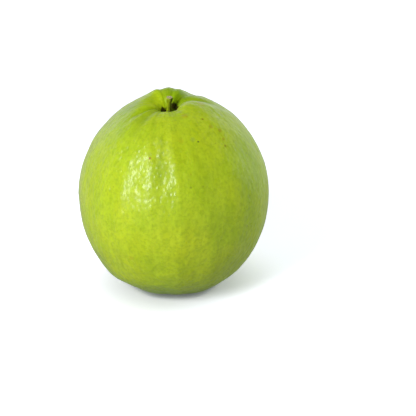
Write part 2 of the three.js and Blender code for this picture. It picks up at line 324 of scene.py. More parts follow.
@dataclass(frozen=True)
class SkinFinish:
    """Waxy yellow-green skin: clouded and streaked, with fine pores, a few brown specks, and painted shade
    in its furrows, creases and hollow.

    Names that end in _mm are the sizes of a pattern's grains, and depths are in millimetres too.
    Shares say how much of its tone a pattern lays on.
    """

    body: tuple = linear(178, 198, 16)
    yellow: tuple = linear(188, 200, 12)
    green: tuple = linear(160, 188, 20)
    # Deep green of the mottling and flecks, and of the painted shade in the furrows.
    deep: tuple = linear(136, 162, 6)
    pale: tuple = linear(196, 216, 44)
    shaded: tuple = linear(116, 162, 12)
    # Dark green of painted shade.
    dark: tuple = linear(92, 128, 6)
    # Dark brown at the bottom of the stalk's hollow: dry tissue and painted shade. The basin under the fruit
    # gets it too.
    bark: tuple = linear(56, 54, 10)
    speck: tuple = linear(120, 104, 30)
    cloud_mm: float = 26.0
    streak_mm: float = 7.0
    streak_share: float = 0.35
    mottle_mm: float = 3.2
    mottle_share: float = 0.25
    fleck_mm: float = 1.5
    fleck_share: float = 0.38
    thread_mm: float = 1.7
    thread_share: float = 0.2
    lenticel_mm: float = 2.6
    lenticel_share: float = 0.16
    speck_mm: float = 9.0
    speck_share: float = 0.6
    pore_mm: float = 1.7
    pore_depth: float = 0.3
    pebble_mm: float = 3.6
    pebble_depth: float = 0.35
    roughness: float = 0.29
    flesh_roughness: float = 0.4
    bark_dulling: float = 0.4
    specular: float = 0.25
    coat: float = 0.65

    def material(self, marks: Sequence[tuple[Vector, Blemish]]) -> bpy.types.Material:
        """Makes the skin.

        Args:
            marks: The blemishes, each with its place in metres.

        Returns:
            The material.
        """
        material, nodes = new_material("guava_skin")
        place = nodes.place()
        hollow = nodes.attribute("hollow")
        ragged_edge = nodes.ramp(nodes.noise(place, 2.4, 3), 0.2, 0.8, -0.25, 0.25)
        bark = nodes.math("ADD", hollow, ragged_edge)
        colour = self._tones(nodes, place)
        # Dark brown at the bottom of the stalk's hollow, with a ragged edge: dry tissue and painted shade.
        colour = nodes.blend(nodes.ramp(bark, 0.45, 0.8), colour, self.bark)
        colour = self._lenticels(nodes, place, colour)
        colour = self._specks(nodes, place, colour)
        for centre, mark in marks:
            colour = self._mark(nodes, place, colour, centre, mark)

        upright = nodes.place((1.0, 1.0, 0.6))
        pores = nodes.cells(upright, self.pore_mm, feature="SMOOTH_F1")
        domes = nodes.ramp(pores.outputs["Distance"], 0.0, 0.75, 1.0, 0.0)
        soft = nodes.bump(nodes.noise(upright, self.pebble_mm, 1.0), self.pebble_depth)
        open_skin = nodes.ramp(nodes.attribute("sheltered"), 0.0, 1.0, 1.0, 0.0)
        dulled = nodes.math("MULTIPLY", nodes.ramp(bark, 0.5, 1.0), self.bark_dulling)
        low, high = self.roughness - 0.03, self.roughness + 0.05
        wax = nodes.ramp(nodes.noise(place, 9, 3), 0.3, 0.7, low, high)
        shader = nodes.add(
            "ShaderNodeBsdfPrincipled",
            {
                "Base Color": colour,
                "Roughness": nodes.math("ADD", dulled, self.flesh_roughness),
                "Normal": soft,
                "IOR": 1.42,
                "Specular IOR Level": nodes.math("MULTIPLY", open_skin, self.specular),
                "Subsurface Weight": 0.12,
                "Subsurface Radius": (0.6, 1.0, 0.2),
                "Subsurface Scale": 0.0015,
                "Coat Weight": nodes.math("MULTIPLY", open_skin, self.coat),
                "Coat Roughness": nodes.math("ADD", wax, dulled),
                "Coat IOR": 1.45,
                "Coat Normal": nodes.bump(domes, self.pore_depth, soft),
                "Sheen Weight": 0.06,
                "Sheen Roughness": 0.35,
                "Sheen Tint": (0.7, 0.95, 1.0, 1.0),
            },
        )
        # An export takes these sockets' own values, so they hold the numbers of the even skin.
        shader.inputs["Specular IOR Level"].default_value = self.specular
        shader.inputs["Coat Weight"].default_value = self.coat
        shader.inputs["Coat Roughness"].default_value = self.roughness
        nodes.add("ShaderNodeOutputMaterial", {"Surface": shader.outputs[0]})
        return material

    def _tones(self, nodes: Nodes, place: Socket) -> Socket:
        """Lays the skin's green and yellow tones and its painted shade over each other.

        Args:
            nodes: The material's nodes.
            place: The place on the skin.

        Returns:
            The colour of clean skin.
        """
        lengthwise = nodes.attribute_place("lengthwise", (1.0, 1.0, 0.4))
        striae = nodes.attribute_place("lengthwise", (1.0, 1.0, 0.35))
        clouds = nodes.ramp(nodes.noise(place, self.cloud_mm, 3), 0.36, 0.66)
        streaks = nodes.ramp(nodes.noise(lengthwise, self.streak_mm, 3, 0.4), 0.38, 0.68)
        mottle = nodes.ramp(nodes.noise(place, self.mottle_mm, 3), 0.42, 0.72)
        flecks = nodes.ramp(nodes.noise(place, self.fleck_mm, 2), 0.42, 0.66)
        threads = nodes.ramp(nodes.noise(striae, self.thread_mm, 3, 0.3), 0.46, 0.66)
        uneven = nodes.ramp(mottle, 0.0, 1.0, 0.6, 1.0)

        colour = nodes.blend(clouds, self.green, self.yellow)
        colour = nodes.blend(0.45, colour, self.body)
        layers = (
            (streaks, self.streak_share, self.pale),
            # The skin's own green with painted shade, towards the deep green shaded tone.
            (nodes.attribute("greener_and_shaded"), 0.7, self.shaded),
            (mottle, self.mottle_share, self.deep),
            (flecks, self.fleck_share, self.deep),
            (threads, self.thread_share, self.pale),
            # Painted shade in creases, in the stalk's hollow and in a valley between ribs.
            (nodes.attribute("painted_shade"), uneven, self.dark),
            # Painted shade in the furrows and pleats.
            (nodes.ramp(nodes.attribute("furrow"), 0.1, 1.1), 0.55, self.deep),
        )
        for pattern, share, tone in layers:
            colour = nodes.blend(nodes.math("MULTIPLY", pattern, share), colour, tone)
        return colour

    def _lenticels(self, nodes: Nodes, place: Socket, colour: Socket) -> Socket:
        """Lays faint pale dots over the skin.

        Args:
            nodes: The material's nodes.
            place: The place on the skin.
            colour: The colour so far.

        Returns:
            The colour with the dots.
        """
        cells = nodes.cells(place, self.lenticel_mm)
        dot = nodes.ramp(cells.outputs["Distance"], 0.05, 0.2, 1.0, 0.0)
        return nodes.blend(nodes.math("MULTIPLY", dot, self.lenticel_share), colour, self.pale)

    def _specks(self, nodes: Nodes, place: Socket, colour: Socket) -> Socket:
        """Strews small brown specks over the skin, in a few of the cells that it is divided into.

        Args:
            nodes: The material's nodes.
            place: The place on the skin.
            colour: The colour so far.

        Returns:
            The colour with the specks.
        """
        cells = nodes.cells(place, self.speck_mm)
        chance = nodes.add("ShaderNodeSeparateColor", {0: cells.outputs["Color"]}).outputs[0]
        picked = nodes.ramp(chance, 0.62, 0.95)
        dot = nodes.ramp(cells.outputs["Distance"], 0.02, 0.07, 1.0, 0.0)
        share = nodes.math("MULTIPLY", nodes.math("MULTIPLY", picked, dot), self.speck_share)
        return nodes.blend(share, colour, self.speck)

    def _mark(
        self, nodes: Nodes, place: Socket, colour: Socket, centre: Vector, mark: Blemish
    ) -> Socket:
        """Lays one soft-edged blemish over the skin.

        Args:
            nodes: The material's nodes.
            place: The place on the skin.
            colour: The colour so far.
            centre: The blemish's middle, in metres.
            mark: The blemish.

        Returns:
            The colour with the blemish.
        """
        apart = {0: place, 1: centre}
        away = nodes.add("ShaderNodeVectorMath", apart, operation="DISTANCE").outputs["Value"]
        inside = nodes.ramp(away, mark.radius * MM * 0.35, mark.radius * MM * 1.2, mark.strength, 0.0)
        return nodes.blend(inside, colour, mark.colour)


@dataclass(frozen=True)
class StalkFinish:
    """Green-brown bark with fine lengthwise fibres, a pale cut end and painted shade down one side."""

    bark: tuple = linear(178, 198, 10)
    shade: tuple = linear(140, 156, 6)
    cut: tuple = linear(206, 200, 160)
    # Near-black green of the painted shade down the stub's side that faces away from the light.
    shaded_side: tuple = linear(44, 50, 4)
    pith: tuple = linear(120, 100, 70)
    roughness: float = 0.72
    fibre_mm: float = 0.55
    fibre_depth: float = 0.18

    def material(self) -> bpy.types.Material:
        """Makes the stalk's bark.

        Returns:
            The material.
        """
        material, nodes = new_material("stalk_bark")
        fibre = nodes.noise(nodes.place((1.0, 1.0, 0.22)), self.fibre_mm, 3)
        blotch = nodes.ramp(nodes.noise(nodes.place(), 1.8, 3), 0.35, 0.7)
        colour = nodes.blend(blotch, self.bark, self.shade)
        colour = nodes.blend(nodes.ramp(fibre, 0.45, 0.75, 0.0, 0.5), colour, self.shade)
        # Painted shade down one side of the stub, wider towards its foot.
        colour = nodes.blend(nodes.attribute("shaded_side"), colour, self.shaded_side)
        rings = nodes.ramp(nodes.noise(nodes.place(), 0.5, 3), 0.3, 0.7)
        wood = nodes.blend(rings, self.cut, self.pith)
        colour = nodes.blend(nodes.attribute("cut_end"), colour, wood)
        shader = nodes.add(
            "ShaderNodeBsdfPrincipled",
            {
                "Base Color": colour,
                "Roughness": self.roughness,
                "Specular IOR Level": 0.2,
                "Normal": nodes.bump(fibre, self.fibre_depth),
            },
        )
        nodes.add("ShaderNodeOutputMaterial", {"Surface": shader.outputs[0]})
        return material


@dataclass(frozen=True)
class CalyxFinish:
    """Dry, papery, dark brown tissue with lighter blotches."""

    dark: tuple = linear(62, 44, 24)
    light: tuple = linear(122, 96, 48)
    roughness: float = 0.85
    blotch_mm: float = 2.2
    crinkle_mm: float = 0.7
    crinkle_depth: float = 0.3

    def material(self) -> bpy.types.Material:
        """Makes the calyx's dry tissue.

        Returns:
            The material.
        """
        material, nodes = new_material("dried_calyx")
        place = nodes.place()
        blotch = nodes.ramp(nodes.noise(place, self.blotch_mm, 4), 0.35, 0.7)
        colour = nodes.blend(blotch, self.dark, self.light)
        crinkle = nodes.bump(nodes.noise(place, self.crinkle_mm, 3, 0.5), self.crinkle_depth)
        shader = nodes.add(
            "ShaderNodeBsdfPrincipled",
            {"Base Color": colour, "Roughness": self.roughness, "Normal": crinkle},
        )
        nodes.add("ShaderNodeOutputMaterial", {"Surface": shader.outputs[0]})
        return material


# --------------------------------------------------------------------------------------------------
# The guava
# --------------------------------------------------------------------------------------------------


@dataclass(frozen=True)
class Furrow:
    """A crease that runs down from the stalk's hollow, and may turn aside near the stalk.

    Its depth is in millimetres. Its half width, its reach past the hollow's rim and its turn are in degrees.
    """

    azimuth: float
    depth: float
    half_width: float
    reach: float
    inward_turn: float = 0.0
    turn_reach: float = 15.0


@dataclass(frozen=True)
class Swell:
    """A lobe or rib that swells above the rest of the skin, or falls in where its height is negative.

    Its height is in millimetres, and all else is in degrees.
    """

    azimuth: float
    height: float
    half_width: float
    polar: float
    reach: float
    inward_turn: float = 0.0
    turn_reach: float = 35.0


@dataclass(frozen=True)
class Fold:
    """A shallow wrinkle that runs along the lip of the stalk's hollow, its depth in millimetres."""

    azimuth: float
    half_length: float
    polar: float
    depth: float
    half_width: float


@dataclass(frozen=True)
class Relief:
    """One layer of the skin's unevenness: its grain's size along X, Y and Z, and its height."""

    size: tuple[float, float, float]
    height: float
    seed: float


@dataclass(frozen=True)
class Shade:
    """A soft-edged patch of the skin with another tone, its middle and sizes in degrees."""

    azimuth: float
    half_width: float
    polar: float
    reach: float
    share: float


@dataclass
class Stance:
    """How the straight fruit is bent and where it stands."""

    bend_angle: float = 8.5
    bend_azimuth: float = 253.0
    crown_height: float = 51.1
    offset: np.ndarray = field(default_factory=lambda: np.zeros(3))

    def bend(self, points: np.ndarray) -> np.ndarray:
        """Bends the fruit's upper half.

        Args:
            points: Points of the straight fruit, with heights over its equator.

        Returns:
            The same points of the bent fruit.
        """
        azimuth = math.radians(self.bend_azimuth)
        way = np.array([math.cos(azimuth), math.sin(azimuth), 0.0])
        height = points[:, 2]
        angle = np.radians(self.bend_angle) * smooth_step(height, 0.0, self.crown_height)
        along = points @ way
        bent_along = along * np.cos(angle) + height * np.sin(angle)
        bent = points + np.outer(bent_along - along, way)
        bent[:, 2] = height * np.cos(angle) - along * np.sin(angle)
        return bent

    def place(self, points: np.ndarray) -> np.ndarray:
        """Returns points of the straight fruit in the row frame, in millimetres."""
        return self.bend(points) + self.offset


@dataclass
class Fruit:
    """The fruit's flesh and skin, grown as one body.

    Radii, heights and depths are in millimetres. Rims, wanders and the other reaches are in degrees.
    """

    equator_radius: float = 46.8
    crown_height: float = 51.1
    crown_roundness: float = 1.84
    swell_height: float = 1.6
    swell_radius: float = 15.0
    cavity_depth: float = 10.8
    cavity_radius: float = 6.8
    cavity_power: float = 1.25
    pit_depth: float = 3.2
    pit_radius: float = 4.4
    base_height: float = 50.4
    base_squareness: float = 2.14
    base_roundness: float = 2.31
    basin_depth: float = 7.5
    basin_radius: float = 9.5
    heel_height: float = 0.4
    heel_radius: float = 20.0
    heel_reach: float = 7.0
    plumpness: float = 0.4
    flattening: float = 0.4
    furrow_rim: float = 14.0
    furrow_at_equator: float = 0.1
    furrow_at_base: float = 0.55
    base_from: float = 158.0
    base_reach: float = 26.0
    pleat_rim: float = 10.0
    pleat_wander: float = 3.0
    fold_wander: float = 0.5
    even_radius: float = 1.5
    uneven_radius: float = 7.5
    basin_dark_radius: float = 6.0
    base_green_and_shade_share: float = 0.8
    base_green_and_shade_reach: float = 40.0
    steps: int = 320
    rings: int = 270
    pole_crowding: float = 0.4
    furrows: tuple[Furrow, ...] = (
        Furrow(14, 1.3, 6, 24, 6),
        Furrow(48, 1.3, 5, 16),
        Furrow(77, 0.4, 4, 16),
        Furrow(105, 0.4, 6, 20, 5),
        Furrow(158, 0.5, 10, 18),
        Furrow(202, 1.6, 7, 12, -7),
        Furrow(227, 1.1, 8, 16, -4),
        Furrow(260, 0.5, 4.5, 48, -18, 35),
        Furrow(284, 0.35, 8, 34),
        Furrow(318, 0.4, 12, 26),
        Furrow(345, 0.4, 9, 20),
    )
    swells: tuple[Swell, ...] = (
        Swell(89, 2.2, 15, 16, 10),
        Swell(66, 1.3, 11, 17, 10),
        Swell(56, -1.2, 9, 23, 9),
        Swell(28, 0.2, 10, 21, 6),
        Swell(112, 1.9, 10, 16, 8),
        Swell(142, -0.4, 14, 22, 12),
        Swell(178, -1.3, 34, 32, 15),
        Swell(340, 1.6, 27, 14, 9),
        Swell(325, 0.5, 24, 30, 16),
        Swell(0, 0.9, 48, 66, 30),
        Swell(222, 1.0, 26, 131, 10),
        Swell(298, 0.6, 26, 136, 13),
        Swell(22, 0.8, 24, 134, 13),
        Swell(92, 0.6, 22, 138, 13),
        Swell(150, 0.9, 24, 134, 12),
    )
    ribs: tuple[Swell, ...] = (
        Swell(225.5, 0.50, 4.5, 76, 26),
        Swell(237.0, 0.66, 4.2, 74, 28),
        Swell(256.0, 0.86, 5.8, 60, 36, -17),
        Swell(273.0, 0.70, 4.8, 60, 30),
        Swell(282, 0.15, 4, 60, 30),
        Swell(289, 0.25, 5, 52, 30),
    )
    pleats: tuple[Furrow, ...] = (
        Furrow(56, 0.35, 4, 6),
        Furrow(91, 0.25, 4, 6),
        Furrow(168, 0.25, 5, 6),
        Furrow(219, 0.3, 4, 8),
        Furrow(252, 0.2, 4, 9),
        Furrow(276, 0.2, 4, 8),
        Furrow(304, 0.2, 5, 8),
        Furrow(334, 0.2, 5, 8),
    )
    folds: tuple[Fold, ...] = (
        Fold(290, 30, 12.5, 0.16, 1.0),
        Fold(264, 24, 15.0, 0.14, 1.0),
        Fold(302, 24, 16.5, 0.14, 1.1),
        Fold(276, 20, 18.5, 0.10, 1.1),
    )
    reliefs: tuple[Relief, ...] = (
        Relief((9.0, 9.0, 42.0), 0.36, 3.1),
        Relief((17.0, 17.0, 24.0), 0.35, 11.7),
        Relief((4.2, 4.2, 5.0), 0.13, 23.3),
    )
    blemishes: tuple[Blemish, ...] = (
        Blemish(253.5, 45.1, 0.8, 0.75, linear(146, 84, 18)),
        Blemish(298.0, 37.2, 0.55, 0.9, linear(66, 84, 34)),
        Blemish(294.0, 35.0, 1.5, 0.3, linear(128, 150, 70)),
        Blemish(281.5, 63.7, 0.7, 0.6, linear(120, 130, 30)),
        Blemish(289.5, 64.1, 0.5, 0.6, linear(130, 134, 24)),
        Blemish(283.0, 55.7, 0.5, 0.45, linear(150, 140, 24)),
        Blemish(321.0, 25.8, 0.7, 0.8, linear(130, 106, 0)),
        Blemish(321.5, 32.0, 1.3, 0.6, linear(154, 150, 0)),
        Blemish(326.5, 36.8, 1.3, 0.7, linear(150, 142, 0)),
        Blemish(323.0, 41.8, 1.0, 0.6, linear(156, 140, 0)),
        Blemish(313.0, 41.6, 0.45, 0.5, linear(130, 140, 34)),
        Blemish(320.0, 45.5, 0.8, 0.7, linear(130, 120, 0)),
        Blemish(335.0, 55.9, 0.6, 0.5, linear(110, 130, 50)),
        Blemish(312.0, 50.1, 0.4, 0.5, linear(130, 140, 40)),
        Blemish(315.0, 56.1, 0.4, 0.5, linear(120, 134, 34)),
        Blemish(282.0, 34.4, 1.6, 0.3, linear(178, 170, 12)),
        Blemish(173.0, 44.2, 0.8, 0.5, linear(84, 110, 50)),
        Blemish(180.5, 45.3, 0.7, 0.4, linear(96, 120, 60)),
        Blemish(301.5, 18.4, 2.0, 0.6, linear(164, 158, 0)),
        Blemish(355.0, 19.4, 2.2, 0.6, linear(164, 158, 0)),
        Blemish(243.5, 106.3, 1.4, 0.4, linear(170, 160, 20)),
    )
    # Patches that turn the skin towards the deep green shaded tone: the skin's own green round the stalk and
    # on the flanks, and painted shade on the crown's left side, behind the stalk and on the front's right.
    greens_and_shade: tuple[Shade, ...] = (
        Shade(62, 60, 8, 22, 1.0),
        Shade(185, 50, 30, 18, 0.7),
        Shade(200, 24, 60, 26, 0.4),
        Shade(270, 60, 8, 12, 0.3),
        Shade(345, 42, 62, 40, 0.4),
        Shade(288, 16, 40, 26, 0.35),
    )
    # Painted shade in the creases round the stalk's hollow, on the hollow's inner walls, and in the valley
    # between the two middle ribs of the front.
    painted_shades: tuple[Shade, ...] = (
        Shade(198, 11, 10, 4.5, 0.9),
        Shade(160, 16, 23, 6, 0.5),
        Shade(224, 10, 21, 5, 0.5),
        Shade(48, 18, 13, 8, 0.8),
        Shade(92, 16, 10, 6, 0.4),
        Shade(262.0, 3.2, 48, 19, 0.5),
        Shade(146, 14, 12, 4, 0.5),
        Shade(28, 8, 10.5, 4.5, 0.8),
    )
    # Dark brown at the bottom of the stalk's hollow and in the crevices beside the stalk: dry tissue and
    # painted shade.
    crevice_bark_and_shade: tuple[Shade, ...] = (
        Shade(0, ALL_ROUND, 0, 5.2, 1.0),
        Shade(133, 34, 4.7, 1.2, 0.7),
        Shade(52, 56, 5.4, 1.9, 0.8),
    )
    shelters: tuple[Shade, ...] = (
        Shade(0, ALL_ROUND, 0, 8, 0.9),
        Shade(168, 80, 13, 10, 0.85),
        Shade(55, 55, 10, 7, 0.85),
        Shade(0, ALL_ROUND, 180, 50, 0.7),
    )
    stance: Stance = field(default_factory=Stance)
    finish: SkinFinish = field(default_factory=SkinFinish)

    def height(self, radius: np.ndarray, crown: np.ndarray) -> np.ndarray:
        """Returns the plain body's height over its equator.

        Args:
            radius: Distances from the axis.
            crown: Whether each point is on the upper half.

        Returns:
            The heights.
        """
        u = np.clip(radius / self.equator_radius, 0.0, 1.0)
        dome = self.crown_height * (1 - u**2) ** (1 / self.crown_roundness)
        swell = self.swell_height * bell(radius / self.swell_radius)
        funnel = self.cavity_depth * np.exp(-((radius / self.cavity_radius) ** self.cavity_power))
        pit = self.pit_depth * np.exp(-((radius / self.pit_radius) ** 3))
        upper = dome + swell - funnel - pit
        keel = self.base_height * (1 - u**self.base_squareness) ** (1 / self.base_roundness)
        heel = self.heel_height * bell((radius - self.heel_radius) / self.heel_reach)
        lower = self.basin_depth * np.exp(-((radius / self.basin_radius) ** 3)) - keel - heel
        return np.where(crown, upper, lower)

    def outline(self, polar: np.ndarray) -> tuple[np.ndarray, np.ndarray]:
        """Returns the plain body's radii and heights at some polar angles."""
        radius = self.equator_radius * np.sin(np.radians(polar))
        return radius, self.height(radius, polar < 90.0)

    def normals(self, polar: np.ndarray) -> tuple[np.ndarray, np.ndarray]:
        """Finds which way the outline faces.

        Args:
            polar: Polar angles in degrees.

        Returns:
            The radial and the upward shares of the outward normals.
        """
        step = 0.2
        radius_above, height_above = self.outline(np.clip(polar - step, 0, 180))
        radius_below, height_below = self.outline(np.clip(polar + step, 0, 180))
        out, up = height_above - height_below, radius_below - radius_above
        length = np.hypot(out, up)
        return out / length, up / length

    def furrowing(self, polar: np.ndarray, azimuth: np.ndarray) -> np.ndarray:
        """Finds how deep the main furrows are.

        Args:
            polar: Polar angles in degrees.
            azimuth: Azimuths in degrees.

        Returns:
            Depths in millimetres.
        """
        depth = np.zeros_like(polar)
        for furrow in self.furrows:
            centre = furrow.azimuth + furrow.inward_turn * bell(polar / furrow.turn_reach)
            across = turn(centre, azimuth) / furrow.half_width
            at_crown = bell(np.maximum(polar - self.furrow_rim, 0.0) / furrow.reach)
            to_base = np.maximum(self.base_from - polar, 0.0) / self.base_reach
            at_base = self.furrow_at_base * bell(to_base)
            share = np.maximum(np.maximum(at_crown, at_base), self.furrow_at_equator)
            depth += furrow.depth * share / (1 + across**2)
        return depth

    def pleating(self, polar: np.ndarray, azimuth: np.ndarray) -> np.ndarray:
        """Finds how deep the fine pleats and folds round the hollow are.

        Args:
            polar: Polar angles in degrees.
            azimuth: Azimuths in degrees.

        Returns:
            Depths in millimetres.
        """
        depth = np.zeros_like(polar)
        for pleat in self.pleats:
            wander = self.pleat_wander * np.sin(np.radians(polar * 9 + pleat.azimuth * 5))
            across = turn(pleat.azimuth, azimuth + wander) / pleat.half_width
            past_rim = np.maximum(polar - self.pleat_rim, 0.0)
            depth += pleat.depth * bell(across) * bell(past_rim / pleat.reach)
        for fold in self.folds:
            along = turn(fold.azimuth, azimuth) / fold.half_length
            wander = self.fold_wander * np.sin(np.radians(azimuth * 7 + fold.polar * 40))
            depth += fold.depth * bell(along**2) * bell((polar + wander - fold.polar) / fold.half_width)
        return depth

    def swelling(self, polar: np.ndarray, azimuth: np.ndarray) -> np.ndarray:
        """Finds how far the lobes and ribs swell.

        Args:
            polar: Polar angles in degrees.
            azimuth: Azimuths in degrees.

        Returns:
            Heights in millimetres.
        """
        height = np.zeros_like(polar)
        for swell in self.swells + self.ribs:
            centre = swell.azimuth + swell.inward_turn * bell(polar / swell.turn_reach)
            across = turn(centre, azimuth) / swell.half_width
            height += swell.height * bell(across) * bell((polar - swell.polar) / swell.reach)
        return height

    def waviness(self, polar: np.ndarray, azimuth: np.ndarray) -> np.ndarray:
        """Finds the skin's unevenness: lengthwise ribs, soft lumps and pebbling.

        Args:
            polar: Polar angles in degrees.
            azimuth: Azimuths in degrees.

        Returns:
            Heights in millimetres.
        """
        p, a = np.radians(polar), np.radians(azimuth)
        directions = np.stack([np.sin(p) * np.cos(a), np.sin(p) * np.sin(a), np.cos(p)], 1)
        sphere = directions * self.equator_radius
        return sum(layer.height * grain(sphere, layer.size, layer.seed) for layer in self.reliefs)

    def toned(self, shades: Sequence[Shade], polar: np.ndarray, azimuth: np.ndarray) -> np.ndarray:
        """Finds how much of another tone some patches give the skin.

        Args:
            shades: The patches.
            polar: Polar angles in degrees.
            azimuth: Azimuths in degrees.

        Returns:
            Shares from 0 to 1.
        """
        plain = np.ones_like(polar)
        for shade in shades:
            across = turn(shade.azimuth, azimuth) / shade.half_width
            plain *= 1 - shade.share * bell(across) * bell((polar - shade.polar) / shade.reach)
        return 1 - plain

    def surface(self, polar: np.ndarray, azimuth: np.ndarray) -> np.ndarray:
        """Returns places on the straight fruit's skin, with heights over its equator.

        Args:
            polar: Polar angles in degrees.
            azimuth: Azimuths in degrees.

        Returns:
            One row of X, Y and Z a point, in millimetres.
        """
        radius, height = self.outline(polar)
        out, up = self.normals(polar)
        lift = self.plumpness + self.swelling(polar, azimuth) - self.furrowing(polar, azimuth)
        lift = lift - self.pleating(polar, azimuth) + self.waviness(polar, azimuth)
        lift = lift * smooth_step(radius, self.even_radius, self.uneven_radius)
        angle = np.radians(azimuth)
        across = radius + out * lift
        return np.stack([across * np.cos(angle), across * np.sin(angle), height + up * lift], 1)

    def build(self) -> bpy.types.Object:
        """Builds the fruit, sets it down and dresses it.

        Returns:
            The finished piece.
        """
        share = np.linspace(1.0, 0.0, self.rings)
        polars = 180.0 * (share - self.pole_crowding * np.sin(math.tau * share) / math.tau)
        radii, heights = self.outline(polars)
        radii[0] = radii[-1] = 0.0
        piece = piece_from(spun(list(zip(radii, heights)), self.steps), "guava_fruit")

        points = points_of(piece)
        radius = np.hypot(points[:, 0], points[:, 1])
        crown = points[:, 2] > 0
        polar = np.degrees(np.arcsin(np.clip(radius / self.equator_radius, 0.0, 1.0)))
        polar = np.where(crown, polar, 180.0 - polar)
        azimuth = np.degrees(np.arctan2(points[:, 1], points[:, 0]))
        bent = self.stance.bend(self.surface(polar, azimuth))
        low, high = bent.min(0), bent.max(0)
        middle = (low + high) / 2
        self.stance.offset = -np.array([middle[0], middle[1], low[2] + self.flattening])
        placed = bent + self.stance.offset
        placed[:, 2] = np.maximum(placed[:, 2], 0.0)
        set_points(piece, placed)

        # Furrow and pleat depths, from which the skin paints shade into its creases.
        set_attribute(piece, "furrow", self.furrowing(polar, azimuth) + self.pleating(polar, azimuth))
        # The bottom of the stalk's hollow turns dark brown, as dry tissue and painted shade, and so does the
        # basin under the fruit.
        basin = bell(radius / self.basin_dark_radius)
        set_attribute(piece, "hollow", np.where(crown, self.toned(self.crevice_bark_and_shade, polar, azimuth), basin))
        set_attribute(piece, "sheltered", self.toned(self.shelters, polar, azimuth))
        # Towards the floor the base turns a deep green: painted shade, with some of the skin's own green.
        under = self.base_green_and_shade_share * bell((180.0 - polar) / self.base_green_and_shade_reach)
        set_attribute(piece, "greener_and_shaded", np.maximum(self.toned(self.greens_and_shade, polar, azimuth), under))
        # Painted shade in creases and hollows, as a share at each point.
        set_attribute(piece, "painted_shade", self.toned(self.painted_shades, polar, azimuth))
        around = np.radians(azimuth)
        places = np.stack([np.cos(around), np.sin(around), np.radians(polar)], 1) * self.equator_radius * MM
        set_places(piece, "lengthwise", places)
        fit_out(piece, "fruit", self.finish.material(self.marks()))
        return piece

    def marks(self) -> list[tuple[Vector, Blemish]]:
        """Finds where the blemishes are on the bent fruit.

        Returns:
            The blemishes, each with its place in metres.
        """
        polar = np.array([mark.polar for mark in self.blemishes], float)
        azimuth = np.array([mark.azimuth for mark in self.blemishes], float)
        places = self.stance.place(self.surface(polar, azimuth)) * MM
        return [(Vector(place), mark) for place, mark in zip(places, self.blemishes)]


@dataclass
class StalkStub:
    """The stub of the stalk, in the hollow on top of the fruit."""

    floor: float
    stance: Stance
    base_radius: float = 2.2
    neck_radius: float = 1.1
    cap_radius: float = 1.65
    height: float = 13.7
    root_depth: float = 2.5
    clearance: float = 0.3
    lean: float = 0.9
    lean_azimuth: float = 10.0
    ridge_share: float = 0.07
    fine_ridge_share: float = 0.05
    unevenness: float = 0.16
    # Where the painted shade lies on the stub: its azimuth, half width, extra width at the foot, and share.
    shade_azimuth: float = 325.0
    shade_width: float = 70.0
    shade_spread: float = 35.0
    shade_share: float = 0.9
    long_edge: float = 0.3
    steps: int = 64
    finish: StalkFinish = field(default_factory=StalkFinish)

    def outline(self) -> list[tuple[float, float]]:
        """Draws the stub's outline.

        Returns:
            Radii and heights, from the root to the middle of the cut end.
        """
        shares = (
            (self.base_radius * 1.15, -0.1),
            (self.base_radius * 1.05, 0.0),
            (self.base_radius * 0.84, 0.12),
            (self.neck_radius * 1.22, 0.3),
            (self.neck_radius, 0.6),
            (self.neck_radius * 1.02, 0.78),
            (self.cap_radius * 0.92, 0.88),
            (self.cap_radius, 0.935),
            (self.cap_radius * 0.95, 0.98),
            (self.cap_radius * 0.8, 1.0),
            (self.cap_radius * 0.45, 0.985),
            (0.0, 0.975),
        )
        root = self.floor - self.root_depth + self.clearance
        rows = [(0.0, root), (self.base_radius, root)]
        return rows + [(radius, self.floor + share * self.height) for radius, share in shares]

    def build(self) -> bpy.types.Object:
        """Builds and dresses the stub.

        Returns:
            The finished piece.
        """
        mesh = spun(self.outline(), self.steps)
        least = self.long_edge * MM
        rising = [edge for edge in mesh.edges if abs(edge.verts[0].co.z - edge.verts[1].co.z) > least]
        bmesh.ops.subdivide_edges(mesh, edges=rising, cuts=3, use_grid_fill=True, smooth=0.0)
        piece = piece_from(mesh, "guava_stalk_stub")
        points = points_of(piece)
        rise = np.clip((points[:, 2] - self.floor) / self.height, 0.0, 1.0)
        angle = np.arctan2(points[:, 1], points[:, 0])
        radius = np.hypot(points[:, 0], points[:, 1])
        ridges = self.ridge_share * np.sin(5 * angle + 2 * rise)
        fine_ridges = self.fine_ridge_share * np.sin(11 * angle + 3 * rise)
        points[:, :2] *= (1 + ridges + fine_ridges)[:, None]
        uneven = np.stack([grain(points, (1.4, 1.4, 2.2), seed) for seed in (1.3, 5.9, 9.1)], 1)
        points += self.unevenness * uneven
        rim = smooth_step(radius, self.cap_radius * 0.75, self.cap_radius)
        ends = smooth_step(rise, 0.93, 0.99) * (1 - rim)
        lean = self.lean * rise**2
        points[:, 0] += lean * math.cos(math.radians(self.lean_azimuth))
        points[:, 1] += lean * math.sin(math.radians(self.lean_azimuth))
        set_points(piece, self.stance.place(points))
        set_attribute(piece, "cut_end", ends)
        # Painted shade on the side away from the light, wider towards the foot, and none on the cut end.
        width = self.shade_width + self.shade_spread * (1 - rise)
        aside = turn(self.shade_azimuth, np.degrees(angle)) / width
        set_attribute(piece, "shaded_side", self.shade_share * bell(aside) * (1 - ends))
        fit_out(piece, "stalk_stub", self.finish.material())
        return piece


@dataclass(frozen=True)
class Sepal:
    """One dried lobe of the calyx, its sizes in millimetres."""

    azimuth: float
    length: float
    half_width: float
    drop: float
    curl: float


